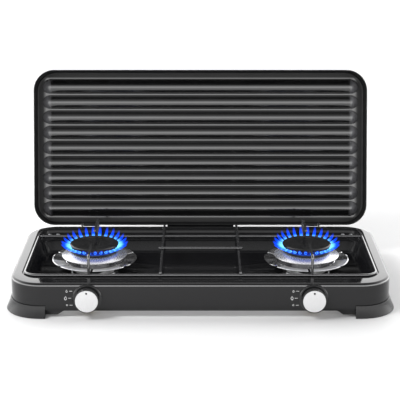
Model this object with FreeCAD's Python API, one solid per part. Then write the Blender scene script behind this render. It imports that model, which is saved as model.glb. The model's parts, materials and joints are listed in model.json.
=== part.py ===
import FreeCAD, Part
import math
import os
from FreeCAD import Vector

# Two-burner camping gas stove with a corrugated lid, shown open. Millimetres.
# X runs to the stove's right, Y to the back, Z up; the feet stand on Z = 0.
# All shapes are drawn about the middle of the body's plan and moved once, at the end,
# so that the whole stove (knobs to open lid) is centred on Y = 0.

# ---------------------------------------------------------------- driving dimensions
WHOLE_MIDDLE_Y = 33.6      # middle of the whole stove, front to back, from the body's middle

BODY_HALF_W = 240.0
BODY_HALF_D = 122.0
BODY_CORNER_R = 40.0
DECK_Z = 44.0
DECK_EDGE_R = 4.0
SHEET = 0.8
SKIRT_LOW_Z = 3.4
SKIRT_HIGH_Z = 8.4

OPEN_HALF_W = 226.6
OPEN_FRONT_Y = -98.0
OPEN_BACK_Y = 113.5
OPEN_R = 22.0
LEDGE_W = 6.2
LEDGE_TOP_Z = 42.6

TRAY_FLOOR_Z = 22.0
TRAY_SHELF_Z = 38.0
TRAY_RIM_Z = LEDGE_TOP_Z + SHEET

FOOT_H = 15.0
FOOT_FLARE = 7.3
FOOT_END_X = 193.6
FOOT_END_Y = 74.0
FOOT_FLOOR = 3.2

WIRE_R = 1.75
GRATE_HALF_W = 222.8
GRATE_FRONT_Y = -93.0
GRATE_BACK_Y = 70.0
PRONG_Z = 70.0

BURNER_X = 141.0
GAS_Z = 12.5
PORT_COUNT = 28

KNOB_Z = 25.0
KNOB_R = 15.3
KNOB_FACE_R = 14.1
KNOB_BACK_Y = -127.5
KNOB_FRONT_Y = -134.6
KNOB_TRAVEL = 2.5
STEM_R = 3.0

RAIL_Y = -104.0
RAIL_R = 4.0
RAIL_Z = 13.0
INLET_X = 185.0

HINGE_Y = 119.0
HINGE_Z = 47.0
HINGE_X = 156.5
PIN_R = 1.25
LID_OPEN_DEG = 103.7
LID_HALF_W = 235.3
LID_BACK_Y = 119.6
LID_LEN = 219.0
LID_EDGE_Z = 44.6
LID_DEPTH = 35.0
LID_R = 29.0
BAND_COUNT = 9
BAND_PITCH = 21.75
BAND_R = 10.96
BAND_RISE = 5.0
BAND_END_X = 216.8

X_AXIS = Vector(1, 0, 0)
Y_AXIS = Vector(0, 1, 0)
Z_AXIS = Vector(0, 0, 1)


# ---------------------------------------------------------------- drawing helpers
def box(x0, x1, y0, y1, z0, z1):
    return Part.makeBox(x1 - x0, y1 - y0, z1 - z0, Vector(x0, y0, z0))


def outline(hx, y0, y1, r, z):
    """Closed rounded rectangle, plus and minus hx wide, from y0 to y1, at height z."""
    k = r * (1.0 - math.sqrt(0.5))
    corners = []
    for sx, yy, sy in ((-1, y0, -1), (1, y0, -1), (1, y1, 1), (-1, y1, 1)):
        near_x = Vector(sx * (hx - r), yy, z)
        near_y = Vector(sx * hx, yy - sy * r, z)
        mid = Vector(sx * (hx - k), yy - sy * k, z)
        pair = (near_y, mid, near_x) if sx * sy > 0 else (near_x, mid, near_y)
        corners.append(pair)
    edges = []
    for i, (start, mid, end) in enumerate(corners):
        edges.append(Part.Arc(start, mid, end).toShape())
        edges.append(Part.makeLine(end, corners[(i + 1) % 4][0]))
    return Part.Wire(edges)


def slab(hx, y0, y1, r, z0, z1):
    return Part.Face(outline(hx, y0, y1, r, z0)).extrude(Vector(0, 0, z1 - z0))


def drafted(low, high):
    """Solid between two rounded rectangles, each given as hx, y0, y1, r, z."""
    return Part.makeLoft([outline(*low), outline(*high)], True, True)


def round_edges_at(solid, z, r):
    edges = [e for e in solid.Edges if all(abs(v.Z - z) < 1e-6 for v in e.Vertexes)]
    return solid.makeFillet(r, edges)


def cyl(r, start, axis, length):
    return Part.makeCylinder(r, length, start, axis)


def turned(points):
    """Solid of revolution about Z from a closed list of (radius, height) points."""
    path = [Vector(r, 0, z) for r, z in points]
    face = Part.Face(Part.makePolygon(path + [path[0]]))
    return face.revolve(Vector(0, 0, 0), Z_AXIS, 360)


def yz_plate(points, x0, x1):
    """Plate with a (y, z) outline, from x0 to x1."""
    path = [Vector(x0, y, z) for y, z in points]
    return Part.Face(Part.makePolygon(path + [path[0]])).extrude(Vector(x1 - x0, 0, 0))


def bent_wire(points, r, bend, closed=False):
    """Round wire through the points; bend is one corner radius, or a list with one for each point."""
    bends = bend if isinstance(bend, list) else [bend] * len(points)
    pts = [Vector(*p) for p in points]
    n = len(pts)
    pieces = []
    starts = list(pts)
    ends = list(pts)
    corners = range(n) if closed else range(1, n - 1)
    for i in corners:
        back = (pts[i - 1] - pts[i]).normalize()
        ahead = (pts[(i + 1) % n] - pts[i]).normalize()
        half = back.getAngle(ahead) / 2.0
        reach = bends[i] / math.tan(half)
        ends[i] = pts[i] + back * reach
        starts[i] = pts[i] + ahead * reach
        inward = (back + ahead).normalize()
        centre = pts[i] + inward * (bends[i] / math.sin(half))
        axis = ahead.cross(back).normalize()
        ring = Part.Face(Part.Wire(Part.makeCircle(r, ends[i], back)))
        turn = 180.0 - math.degrees(2.0 * half)
        pieces.append(ring.revolve(centre, axis, turn))
    for i in range(n if closed else n - 1):
        j = (i + 1) % n
        run = ends[j] - starts[i]
        pieces.append(cyl(r, starts[i], run, run.Length))
    return pieces[0].multiFuse(pieces[1:]).removeSplitter()


def hexagon(across_flats, start, axis, length):
    """Hexagonal bar along Y from start."""
    rad = across_flats / math.sqrt(3.0)
    pts = []
    for k in range(7):
        a = math.radians(60 * k)
        pts.append(start + Vector(rad * math.cos(a), 0, rad * math.sin(a)))
    return Part.Face(Part.makePolygon(pts)).extrude(axis * length)


def fuse(shapes):
    return shapes[0].multiFuse(shapes[1:]).removeSplitter()


def drill(shape, holes):
    """Cut round holes, each given as radius, start, axis, length."""
    return shape.cut(Part.makeCompound([cyl(*h) for h in holes]))


def moved(shape, dx, dy=0.0, dz=0.0):
    copy = shape.copy()
    copy.translate(Vector(dx, dy, dz))
    return copy


def other_side(shape):
    return shape.mirror(Vector(0, 0, 0), X_AXIS)


def open_lid(shape):
    """Swing a piece drawn on the closed lid up to the open stop."""
    copy = shape.copy()
    copy.rotate(Vector(0, HINGE_Y, HINGE_Z), X_AXIS, -LID_OPEN_DEG)
    return copy


def corners_of_four(x, y):
    return [(sx * x, sy * y) for sx in (-1, 1) for sy in (-1, 1)]


# ---------------------------------------------------------------- body
def body_shell():
    w, d, r = BODY_HALF_W, BODY_HALF_D, BODY_CORNER_R
    outer = round_edges_at(slab(w, -d, d, r, SKIRT_LOW_Z, DECK_Z), DECK_Z, DECK_EDGE_R)
    inner_top = DECK_Z - SHEET
    inner = slab(w - SHEET, -d + SHEET, d - SHEET, r - SHEET, SKIRT_LOW_Z - 1, inner_top)
    inner = round_edges_at(inner, inner_top, DECK_EDGE_R - SHEET)
    shell = outer.cut(inner)
    hole = slab(OPEN_HALF_W, OPEN_FRONT_Y, OPEN_BACK_Y, OPEN_R, LEDGE_TOP_Z, DECK_Z + 5)
    s = SHEET
    step = slab(OPEN_HALF_W + s, OPEN_FRONT_Y - s, OPEN_BACK_Y + s, OPEN_R + s, LEDGE_TOP_Z - s, inner_top + 0.4)
    e = LEDGE_W
    through = slab(OPEN_HALF_W - e, OPEN_FRONT_Y + e, OPEN_BACK_Y - e, OPEN_R - e, 30, DECK_Z + 5)
    shell = shell.fuse(step).cut(hole).cut(through)
    # raised hem between the feet, on all four sides
    low, high = SKIRT_LOW_Z - 1, SKIRT_HIGH_Z
    gap_x = [Vector(x, -200, z) for x, z in ((-179.4, low), (-171, high), (171, high), (179.4, low))]
    gap_y = [Vector(-300, y, z) for y, z in ((-60.4, low), (-52, high), (52, high), (60.4, low))]
    shell = shell.cut(Part.Face(Part.makePolygon(gap_x + [gap_x[0]])).extrude(Vector(0, 400, 0)))
    shell = shell.cut(Part.Face(Part.makePolygon(gap_y + [gap_y[0]])).extrude(Vector(600, 0, 0)))
    # corner plates that take the foot screws
    plate = slab(w - s / 2, -d + s / 2, d - s / 2, r - s / 2, SKIRT_LOW_Z, SKIRT_LOW_Z + 1.2)
    keep = [box(x0, x1, y0, y1, 0, 9) for x0, x1 in ((-260, -FOOT_END_X), (FOOT_END_X, 260))
            for y0, y1 in ((-140, -FOOT_END_Y), (FOOT_END_Y, 140))]
    shell = shell.fuse(plate.common(Part.makeCompound(keep)))
    holes = [(6.0, Vector(sx * BURNER_X, -d - 2, KNOB_Z), Y_AXIS, 5) for sx in (-1, 1)]
    holes += [(1.3, Vector(sx * BURNER_X + k, -d - 2, KNOB_Z), Y_AXIS, 5) for sx in (-1, 1) for k in (-10, 10)]
    holes.append((6.1, Vector(INLET_X, d - 3, RAIL_Z), Y_AXIS, 5))
    holes += [(1.3, Vector(x, d - 3, 30), Y_AXIS, 5) for x in rear_screw_xs()]
    holes += [(1.5, Vector(x, y, 1), Z_AXIS, 6) for x, y in corners_of_four(218, 100)]
    return drill(shell, holes).removeSplitter()


def rear_screw_xs():
    side = [sx * (HINGE_X + k) for sx in (-1, 1) for k in (-6.5, 6.5)]
    return side + [-30.0, 30.0]


def foot():
    """Flared corner shoe, front right; the others are mirror images."""
    w, d, r = BODY_HALF_W, BODY_HALF_D, BODY_CORNER_R
    f = FOOT_FLARE
    t = 1.6
    skin = drafted((w + f, -d - f, d + f, r + f, 0), (w + t, -d - t, d + t, r + t, FOOT_H))
    c = 0.1
    skin = skin.cut(slab(w + c, -d - c, d + c, r + c, FOOT_FLOOR, FOOT_H + 5))
    corner = skin.common(box(FOOT_END_X, 300, -160, -FOOT_END_Y, -1, 30))
    holes = [(1.5, Vector(218, -100, -1), Z_AXIS, 6), (3.6, Vector(218, -100, -1), Z_AXIS, 2.8)]
    return drill(corner, holes)


def foot_screws():
    head = cyl(3.2, Vector(0, 0, 0.4), Z_AXIS, 1.4).fuse(cyl(1.4, Vector(0, 0, 1.8), Z_AXIS, 5.2))
    return Part.makeCompound([moved(head, x, y) for x, y in corners_of_four(218, 100)])


def drip_tray():
    t = SHEET
    rim = slab(OPEN_HALF_W - 1, OPEN_FRONT_Y + 1, OPEN_BACK_Y - 1, OPEN_R - 1, LEDGE_TOP_Z, TRAY_RIM_Z)

    def pan(g, drop):
        top = TRAY_RIM_Z + (0.5 if drop else 0.0)
        floor = TRAY_FLOOR_Z - t + drop
        shelf = TRAY_SHELF_Z - t + drop
        well = drafted((212.8 - g, -84.8 + g, 68.8 - g, 15, floor), (219.6 - g, -91.2 + g, 75.6 - g, 18, top))
        back = drafted((218.8 - g, -88.0 + g, 105.6 - g, 15, shelf), (219.6 - g, -91.2 + g, 106.4 - g, 15.6, top))
        return well.fuse(back)

    tray = rim.fuse(pan(0.0, 0.0)).cut(pan(t, t))
    rib = drafted((49, 0.5, 13.5, 6.4, TRAY_FLOOR_Z - 0.4), (47.5, 2, 12, 4.9, TRAY_FLOOR_Z + 1.4))
    dent = drafted((48.4, 1.1, 12.9, 5.8, TRAY_FLOOR_Z - t - 0.1), (46.9, 2.6, 11.4, 4.3, TRAY_FLOOR_Z + 0.7))
    tray = tray.fuse(rib).cut(dent)
    holes = [(21.0, Vector(sx * BURNER_X, 0, 15), Z_AXIS, 10) for sx in (-1, 1)]
    holes += [(1.5, Vector(x, y, 15), Z_AXIS, 10) for x, y in burner_screw_spots()]
    holes += [(1.5, Vector(x, y, 35), Z_AXIS, 5) for x, y in tray_screw_spots()]
    return drill(tray, holes).removeSplitter()


def tray_screw_spots():
    return [(sx * x, y) for sx in (-1, 1) for x, y in ((200.0, 98.0), (211.0, 97.0))]


def tray_screws():
    screw = turned([(0, 32), (1.4, 32), (1.4, 38), (2.8, 38), (2.6, 39.2), (1.6, 39.9), (0, 40.1)])
    return Part.makeCompound([moved(screw, x, y) for x, y in tray_screw_spots()])


def tray_brackets():
    """Two angle plates on the inside of the back wall that hold the tray's shelf."""
    top = TRAY_SHELF_Z - SHEET
    back = BODY_HALF_D - SHEET
    plates = [box(186, 218, 88, 104, top - 1.2, top), box(186, 199, 88, back, top - 1.2, top)]
    plates.append(box(186, 199, back - 1.2, back, 24, top))
    angle = drill(fuse(plates), [(1.45, Vector(x, y, 30), Z_AXIS, 10) for x, y in tray_screw_spots()[2:]])
    return Part.makeCompound([angle, other_side(angle)])


# ---------------------------------------------------------------- pan grate
def grate_outer_loop():
    z = TRAY_RIM_Z + WIRE_R
    x, y0, y1 = GRATE_HALF_W, GRATE_FRONT_Y, GRATE_BACK_Y
    bends = [16.0, 16.0, 6.0, 6.0]
    return bent_wire([(-x, y0, z), (x, y0, z), (x, y1, z), (-x, y1, z)], WIRE_R, bends, True)


def grate_long_wire():
    z = TRAY_RIM_Z + 3 * WIRE_R
    return bent_wire([(50.6, -95.5, z), (50.6, 110, z)], WIRE_R, 4.0)


def grate_cross_wire():
    z = TRAY_RIM_Z + 5 * WIRE_R
    return bent_wire([(-54, -4.5, z), (54, -4.5, z)], WIRE_R, 4.0)


def grate_prong(y_bar, y_tip):
    """Finger that stands on a bar of the loop and points at the burner."""
    z = TRAY_RIM_Z + 2 * WIRE_R
    return bent_wire([(BURNER_X, y_bar, z), (BURNER_X, y_bar, PRONG_Z), (BURNER_X, y_tip, PRONG_Z)], WIRE_R, 4.0)


# ---------------------------------------------------------------- burner (drawn about the Z axis)
def burner_screw_spots():
    spots = []
    for sx in (-1, 1):
        for deg in (0, 120, 240):
            a = math.radians(deg)
            spots.append((sx * BURNER_X + 25 * math.cos(a), 25 * math.sin(a)))
    return spots


def burner_body():
    """Cast mixing chamber with its fixing flange and the horn for the venturi."""
    outer = turned([(0, 3.8), (18, 3.8), (18, 17.6), (28.5, 17.6), (28.5, 21.2), (18, 21.2), (18, 45.6), (0, 45.6)])
    horn = cyl(8.0, Vector(0, -34, GAS_Z), Y_AXIS, 30)
    body = outer.fuse(horn)
    body = body.cut(cyl(15.6, Vector(0, 0, 6.5), Z_AXIS, 60))
    holes = [(6.05, Vector(0, -35, GAS_Z), Y_AXIS, 13), (5.2, Vector(0, -35, GAS_Z), Y_AXIS, 32)]
    for x, y in burner_screw_spots()[3:]:
        holes.append((1.5, Vector(x - BURNER_X, y, 15), Z_AXIS, 10))
    return drill(body, holes).removeSplitter()


def venturi_tube():
    tube = cyl(6.0, Vector(0, -82, GAS_Z), Y_AXIS, 60)
    bell = Part.makeCone(8.0, 6.0, 7, Vector(0, -82, GAS_Z), Y_AXIS)
    bore = cyl(5.2, Vector(0, -83, GAS_Z), Y_AXIS, 62)
    flare = Part.makeCone(7.4, 5.2, 6, Vector(0, -82, GAS_Z), Y_AXIS)
    return tube.fuse(bell).cut(bore).cut(flare).removeSplitter()


def burner_cup():
    return turned([(30.2, 22.0), (31, 22.0), (31, 34), (18.2, 34), (18.2, 33.2), (30.2, 33.2)])


def burner_screws():
    screw = turned([(0, 14), (1.4, 14), (1.4, 22), (2.8, 22), (2.4, 23.8), (0, 24.2)])
    return Part.makeCompound([moved(screw, x, y) for x, y in burner_screw_spots()])


def reflector_dish():
    """Bright drip dish whose sloping outer part is slotted into petals."""
    dish = turned([(18.2, 34.0), (36, 34.0), (56, 36.6), (55.9, 37.4), (35.9, 34.8), (18.2, 34.8)])
    slots = []
    for deg in (22, 90, 158, 218, 270, 322):
        slot = box(38.5, 60, -1.6, 1.6, 30, 40)
        slot.rotate(Vector(0, 0, 0), Z_AXIS, deg)
        slots.append(slot)
    return dish.cut(Part.makeCompound(slots))


def flame_skirt():
    return turned([(15.7, 45.6), (31.2, 45.6), (42.7, 41.6), (43.2, 42.6), (31.4, 46.7), (15.7, 46.7)])


def burner_head():
    """Port ring with a neck that drops into the mixing chamber."""
    ring = turned([(13.2, 34), (15.5, 34), (15.5, 46.7), (29.6, 46.7), (30.8, 48), (30.8, 56), (27.4, 56),
                   (27.4, 48.6), (13.2, 48.6)])
    ports = []
    for k in range(PORT_COUNT):
        a = 2 * math.pi * (k + 0.5) / PORT_COUNT
        ports.append(cyl(1.0, Vector(26 * math.cos(a), 26 * math.sin(a), 52.5), Vector(math.cos(a), math.sin(a), 0), 6))
    return ring.cut(Part.makeCompound(ports))


def burner_cap():
    return turned([(0, 56), (25.0, 56), (25.0, 53.4), (27.2, 53.4), (27.2, 56), (31.2, 56), (32.2, 56.6),
                   (32.2, 57.4), (30.6, 58.4), (23.2, 59.2), (20.4, 58.2), (0, 58.2)])


# ---------------------------------------------------------------- gas train
def valve_body():
    """Brass tap behind the front wall; the stem turns in its barrel. Drawn at X = 0."""
    front = -BODY_HALF_D + SHEET
    barrel = cyl(7.5, Vector(0, front, KNOB_Z), Y_AXIS, 24)
    lug = box(-14, 14, front, front + 2.4, KNOB_Z - 6, KNOB_Z + 6)
    block = box(-7, 7, -111, -97.5, 5.5, KNOB_Z)
    boss = cyl(4.6, Vector(0, -98, GAS_Z), Y_AXIS, 3)
    tap = fuse([barrel, lug, block, boss])
    holes = [(6.2, Vector(0, front - 1, KNOB_Z), Y_AXIS, 9.2), (STEM_R + 0.05, Vector(0, front, KNOB_Z), Y_AXIS, 21)]
    holes.append((RAIL_R + 0.02, Vector(-20, RAIL_Y, RAIL_Z), X_AXIS, 40))
    holes.append((2.5, Vector(0, -100, GAS_Z), Y_AXIS, 8))
    holes += [(1.25, Vector(k, front - 1, KNOB_Z), Y_AXIS, 6) for k in (-10, 10)]
    return drill(tap, holes)


def valve_screws():
    parts = []
    for sx in (-1, 1):
        for k in (-10, 10):
            start = Vector(sx * BURNER_X + k, -BODY_HALF_D, KNOB_Z)
            parts.append(cyl(2.4, start - Vector(0, 1.2, 0), Y_AXIS, 1.2).fuse(cyl(1.2, start, Y_AXIS, 5)))
    return Part.makeCompound(parts)


def injectors():
    y = -95.0
    nose = fuse([cyl(2.45, Vector(0, y - 3, GAS_Z), Y_AXIS, 3), hexagon(8.0, Vector(0, y, GAS_Z), Y_AXIS, 4),
                 Part.makeCone(3.4, 2.4, 6, Vector(0, y + 4, GAS_Z), Y_AXIS)])
    nose = drill(nose, [(0.4, Vector(0, y - 4, GAS_Z), Y_AXIS, 20), (1.6, Vector(0, y - 4, GAS_Z), Y_AXIS, 10)])
    return Part.makeCompound([moved(nose, -BURNER_X), moved(nose, BURNER_X)])


def gas_rail():
    """Steel tube past both taps and back to the inlet, closed at its left end."""
    path = [(-165, RAIL_Y, RAIL_Z), (INLET_X, RAIL_Y, RAIL_Z), (INLET_X, 114, RAIL_Z)]
    tube = bent_wire(path, RAIL_R, 16.0)
    path[0] = (-163, RAIL_Y, RAIL_Z)
    path[2] = (INLET_X, 115, RAIL_Z)
    bore = bent_wire(path, RAIL_R - 1.0, 16.0)
    jets = [cyl(1.2, Vector(sx * BURNER_X, RAIL_Y, RAIL_Z), Y_AXIS, 6) for sx in (-1, 1)]
    return tube.cut(bore).cut(Part.makeCompound(jets))


def gas_inlet():
    """Brass hose spigot through the back wall."""
    at = Vector(INLET_X, 0, RAIL_Z)
    back = BODY_HALF_D
    shank = cyl(6.0, at + Vector(0, 107, 0), Y_AXIS, back - 107)
    collar = hexagon(14.0, at + Vector(0, back, 0), Y_AXIS, 5)
    spigot = cyl(4.5, at + Vector(0, back + 5, 0), Y_AXIS, 22)
    fitting = fuse([shank, collar, spigot])
    for k in range(3):
        y = back + 7.5 + 3 * k
        groove = cyl(6.0, at + Vector(0, y, 0), Y_AXIS, 1.2).cut(cyl(3.9, at + Vector(0, y - 1, 0), Y_AXIS, 4))
        fitting = fitting.cut(groove)
    return drill(fitting, [(RAIL_R + 0.02, at + Vector(0, 106, 0), Y_AXIS, 8), (2.5, at + Vector(0, 106, 0), Y_AXIS, 50)])


def inlet_nut():
    at = Vector(INLET_X, BODY_HALF_D - SHEET - 4.5, RAIL_Z)
    return drill(hexagon(15.0, at, Y_AXIS, 4.5), [(6.05, at - Vector(0, 1, 0), Y_AXIS, 8)])


# ---------------------------------------------------------------- knobs (drawn at X = 0)
def knob_bezel():
    wall = -BODY_HALF_D
    ring = cyl(18.6, Vector(0, wall - 2.4, KNOB_Z), Y_AXIS, 2.4)
    ring = ring.makeFillet(1.2, [e for e in ring.Edges if abs(e.BoundBox.YMax - wall + 2.4) < 1e-6])
    pocket = cyl(13.4, Vector(0, wall - 1.4, KNOB_Z), Y_AXIS, 3)
    return drill(ring.cut(pocket), [(4.2, Vector(0, wall - 4, KNOB_Z), Y_AXIS, 6)])


def valve_stem():
    stem = cyl(STEM_R, Vector(0, KNOB_FRONT_Y + 2.4, KNOB_Z), Y_AXIS, 28.7)
    flat = box(-5, 5, KNOB_FRONT_Y, KNOB_BACK_Y + 1, KNOB_Z + 1.8, KNOB_Z + 5)
    return stem.cut(flat)


def thrust_collar():
    """Spring cup round the stem: it is pushed in with the knob but does not turn."""
    y = -BODY_HALF_D + SHEET + 1.2
    return cyl(5.7, Vector(0, y, KNOB_Z), Y_AXIS, 1.6).cut(cyl(STEM_R + 0.05, Vector(0, y - 1, KNOB_Z), Y_AXIS, 4))


def knob():
    body = cyl(KNOB_R, Vector(0, KNOB_FRONT_Y, KNOB_Z), Y_AXIS, KNOB_BACK_Y - KNOB_FRONT_Y)
    body = body.makeFillet(0.7, [e for e in body.Edges if abs(e.BoundBox.YMax - KNOB_FRONT_Y) < 1e-6])
    body = body.cut(cyl(KNOB_FACE_R + 0.1, Vector(0, KNOB_FRONT_Y - 1, KNOB_Z), Y_AXIS, 2.0))
    body = body.cut(cyl(13.2, Vector(0, KNOB_BACK_Y - 3.6, KNOB_Z), Y_AXIS, 20))
    hub = cyl(5.6, Vector(0, KNOB_FRONT_Y + 2, KNOB_Z), Y_AXIS, KNOB_BACK_Y - KNOB_FRONT_Y - 2)
    mark = cyl(1.1, Vector(0, KNOB_FRONT_Y, KNOB_Z + 10.4), Y_AXIS, 2)
    return fuse([body, hub, mark]).cut(valve_stem())


def knob_face():
    disc = cyl(KNOB_FACE_R, Vector(0, KNOB_FRONT_Y, KNOB_Z), Y_AXIS, 1.0)
    return drill(disc, [(1.15, Vector(0, KNOB_FRONT_Y - 1, KNOB_Z + 10.4), Y_AXIS, 4)])


# ---------------------------------------------------------------- hinges
def hinge_bracket():
    """Angle on the back wall with two ears that carry the pin, right-hand side."""
    y0 = BODY_HALF_D
    y1 = y0 + 1.2
    parts = [box(144.5, 168.5, y0, y1, 20, 42)]
    for x0 in (144.5, 167.1):
        x1 = x0 + 1.4
        parts.append(box(x0, x1, y0, y1, 20, HINGE_Z + 2.9))
        parts.append(box(x0, x1, HINGE_Y, y1, HINGE_Z - 2.9, HINGE_Z + 2.9))
        parts.append(cyl(2.9, Vector(x0, HINGE_Y, HINGE_Z), X_AXIS, 1.4))
    holes = [(PIN_R, Vector(140, HINGE_Y, HINGE_Z), X_AXIS, 40)]
    holes += [(1.3, Vector(HINGE_X + k, y0 - 1, 30), Y_AXIS, 4) for k in (-6.5, 6.5)]
    return drill(fuse(parts), holes)


def hinge_pins():
    pin = cyl(PIN_R, Vector(144.5, HINGE_Y, HINGE_Z), X_AXIS, 24)
    for x in (143.9, 168.5):
        pin = pin.fuse(cyl(2.0, Vector(x, HINGE_Y, HINGE_Z), X_AXIS, 0.6))
    return Part.makeCompound([pin, other_side(pin)])


def lid_stop():
    """Bent plate the open lid leans back on."""
    slope = math.tan(math.radians(LID_OPEN_DEG - 90))
    edge = open_lid(Part.Vertex(Vector(0, LID_BACK_Y, LID_EDGE_Z))).Point

    def lip(y):
        return edge.z - (y - edge.y) * slope - 0.32

    y0 = BODY_HALF_D
    y1 = y0 + 1.2
    points = [(y0, 22), (y1, 22), (y1, lip(y1) - 1.2), (133.7, lip(133.7) - 1.2), (134, lip(134)), (y0, lip(y0))]
    holes = [(1.3, Vector(x, y0 - 1, 30), Y_AXIS, 4) for x in (-30, 30)]
    return drill(yz_plate(points, -47, 47), holes)


def rear_screws():
    parts = []
    for x in rear_screw_xs():
        start = Vector(x, BODY_HALF_D + 1.2, 30)
        parts.append(cyl(2.6, start, Y_AXIS, 1.3).fuse(cyl(1.2, start - Vector(0, 6, 0), Y_AXIS, 6)))
    return Part.makeCompound(parts)


# ---------------------------------------------------------------- lid, drawn closed
def band(r):
    """Long round-ended swelling, all nine side by side."""
    z = LID_EDGE_Z + LID_DEPTH - SHEET + BAND_R - BAND_RISE
    middle = LID_BACK_Y - LID_LEN / 2
    parts = []
    for k in range(BAND_COUNT):
        y = middle + (k - (BAND_COUNT - 1) / 2) * BAND_PITCH
        rod = cyl(r, Vector(-BAND_END_X, y, z), X_AXIS, 2 * BAND_END_X)
        ends = [Part.makeSphere(r, Vector(sx * BAND_END_X, y, z)) for sx in (-1, 1)]
        parts.append(rod.multiFuse(ends))
    return parts


def lid_panel():
    front = LID_BACK_Y - LID_LEN
    top = LID_EDGE_Z + LID_DEPTH
    outer = round_edges_at(slab(LID_HALF_W, front, LID_BACK_Y, LID_R, LID_EDGE_Z, top), top, 3.0)
    s = SHEET
    inner = slab(LID_HALF_W - s, front + s, LID_BACK_Y - s, LID_R - s, LID_EDGE_Z - 1, top - s)
    inner = round_edges_at(inner, top - s, 2.2)
    below = box(-300, 300, front, LID_BACK_Y, 40, top - 0.3)
    ridges = [b.common(below) for b in band(BAND_R)]
    lid = outer.cut(inner).multiFuse(ridges).cut(Part.makeCompound(band(BAND_R - SHEET)))
    for sx in (-1, 1):
        x = sx * HINGE_X
        lid = lid.cut(box(x - 14, x + 14, 117, 122, 40, LID_EDGE_Z + 9))
        lid = drill(lid, [(1.25, Vector(x + k, 116, 62), Y_AXIS, 6) for k in (-5.5, 5.5)])
    return open_lid(lid.removeSplitter())


def lid_leaf():
    """Hinge leaf, right-hand side: knuckle round the pin and a plate on the lid's back flange."""
    y0 = LID_BACK_Y
    leaf = box(147, 166, y0, y0 + 1.1, HINGE_Z + 1, 70)
    knuckle = cyl(2.5, Vector(147, HINGE_Y, HINGE_Z), X_AXIS, 19)
    leaf = leaf.fuse(knuckle)
    holes = [(PIN_R + 0.05, Vector(140, HINGE_Y, HINGE_Z), X_AXIS, 40)]
    holes += [(1.25, Vector(HINGE_X + k, 116, 62), Y_AXIS, 8) for k in (-5.5, 5.5)]
    return open_lid(drill(leaf, holes))


def lid_rivets():
    parts = []
    for sx in (-1, 1):
        for k in (-5.5, 5.5):
            at = Vector(sx * HINGE_X + k, LID_BACK_Y - SHEET, 62)
            rivet = cyl(1.25, at, Y_AXIS, SHEET + 1.1)
            rivet = rivet.fuse(cyl(2.2, at - Vector(0, 0.7, 0), Y_AXIS, 0.7))
            parts.append(rivet.fuse(cyl(2.4, at + Vector(0, SHEET + 1.1, 0), Y_AXIS, 1.1)))
    return open_lid(Part.makeCompound(parts))


# ---------------------------------------------------------------- assembly
def build():
    nodes = {"body_shell": body_shell(), "drip_tray": drip_tray()}
    shoe = foot()
    back_shoe = shoe.mirror(Vector(0, 0, 0), Y_AXIS)
    nodes["foot_front_right"] = shoe
    nodes["foot_front_left"] = other_side(shoe)
    nodes["foot_rear_right"] = back_shoe
    nodes["foot_rear_left"] = other_side(back_shoe)
    nodes["foot_screws"] = foot_screws()
    nodes["tray_screws"] = tray_screws()
    nodes["tray_brackets"] = tray_brackets()
    nodes["grate_outer_loop"] = grate_outer_loop()
    nodes["grate_cross_wire"] = grate_cross_wire()
    pairs = {
        "grate_long_wire": grate_long_wire(),
        "grate_front_prong": grate_prong(GRATE_FRONT_Y, -46.0),
        "grate_rear_prong": grate_prong(GRATE_BACK_Y, 14.0),
        "hinge_bracket": hinge_bracket(),
        "lid_leaf": lid_leaf(),
    }
    for name, shape in pairs.items():
        nodes[name + "_right"] = shape
        nodes[name + "_left"] = other_side(shape)
    stacked = {
        "burner_body": burner_body(),
        "venturi_tube": venturi_tube(),
        "burner_cup": burner_cup(),
        "reflector_dish": reflector_dish(),
        "flame_skirt": flame_skirt(),
        "burner_head": burner_head(),
        "burner_cap": burner_cap(),
        "valve_body": valve_body(),
        "knob_bezel": knob_bezel(),
        "valve_stem": valve_stem(),
        "thrust_collar": thrust_collar(),
        "knob": knob(),
        "knob_face": knob_face(),
    }
    for name, shape in stacked.items():
        nodes[name + "_right"] = moved(shape, BURNER_X)
        nodes[name + "_left"] = moved(shape, -BURNER_X)
    nodes["burner_screws"] = burner_screws()
    nodes["valve_screws"] = valve_screws()
    nodes["injectors"] = injectors()
    nodes["gas_rail"] = gas_rail()
    nodes["gas_inlet"] = gas_inlet()
    nodes["inlet_nut"] = inlet_nut()
    nodes["hinge_pins"] = hinge_pins()
    nodes["lid_stop"] = lid_stop()
    nodes["rear_screws"] = rear_screws()
    nodes["lid_panel"] = lid_panel()
    nodes["lid_rivets"] = lid_rivets()
    return nodes


def main():
    os.makedirs("parts", exist_ok=True)
    for name, shape in build().items():
        moved(shape, 0, -WHOLE_MIDDLE_Y).exportStep("parts/" + name + ".step")


main()
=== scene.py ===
import json
import math
import bpy
import numpy as np
from bpy.props import FloatProperty, FloatVectorProperty, IntProperty, PointerProperty
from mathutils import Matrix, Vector


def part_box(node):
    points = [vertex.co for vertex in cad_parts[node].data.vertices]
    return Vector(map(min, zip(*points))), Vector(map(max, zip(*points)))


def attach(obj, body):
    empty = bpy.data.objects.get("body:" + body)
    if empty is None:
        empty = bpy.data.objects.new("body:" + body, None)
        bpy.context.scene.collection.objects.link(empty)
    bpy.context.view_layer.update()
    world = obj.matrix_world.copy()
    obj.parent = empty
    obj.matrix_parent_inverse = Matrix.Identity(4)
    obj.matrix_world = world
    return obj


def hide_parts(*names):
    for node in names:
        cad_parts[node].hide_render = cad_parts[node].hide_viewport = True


bl_info = {
    "name": "Camping Stove",
    "version": (1, 0, 0),
    "blender": (4, 5, 0),
    "location": "View3D > Sidebar > Stove",
    "description": "Surfaces, finishes and studio for a two-burner camping stove with a corrugated lid",
    "category": "Object",
}

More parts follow.
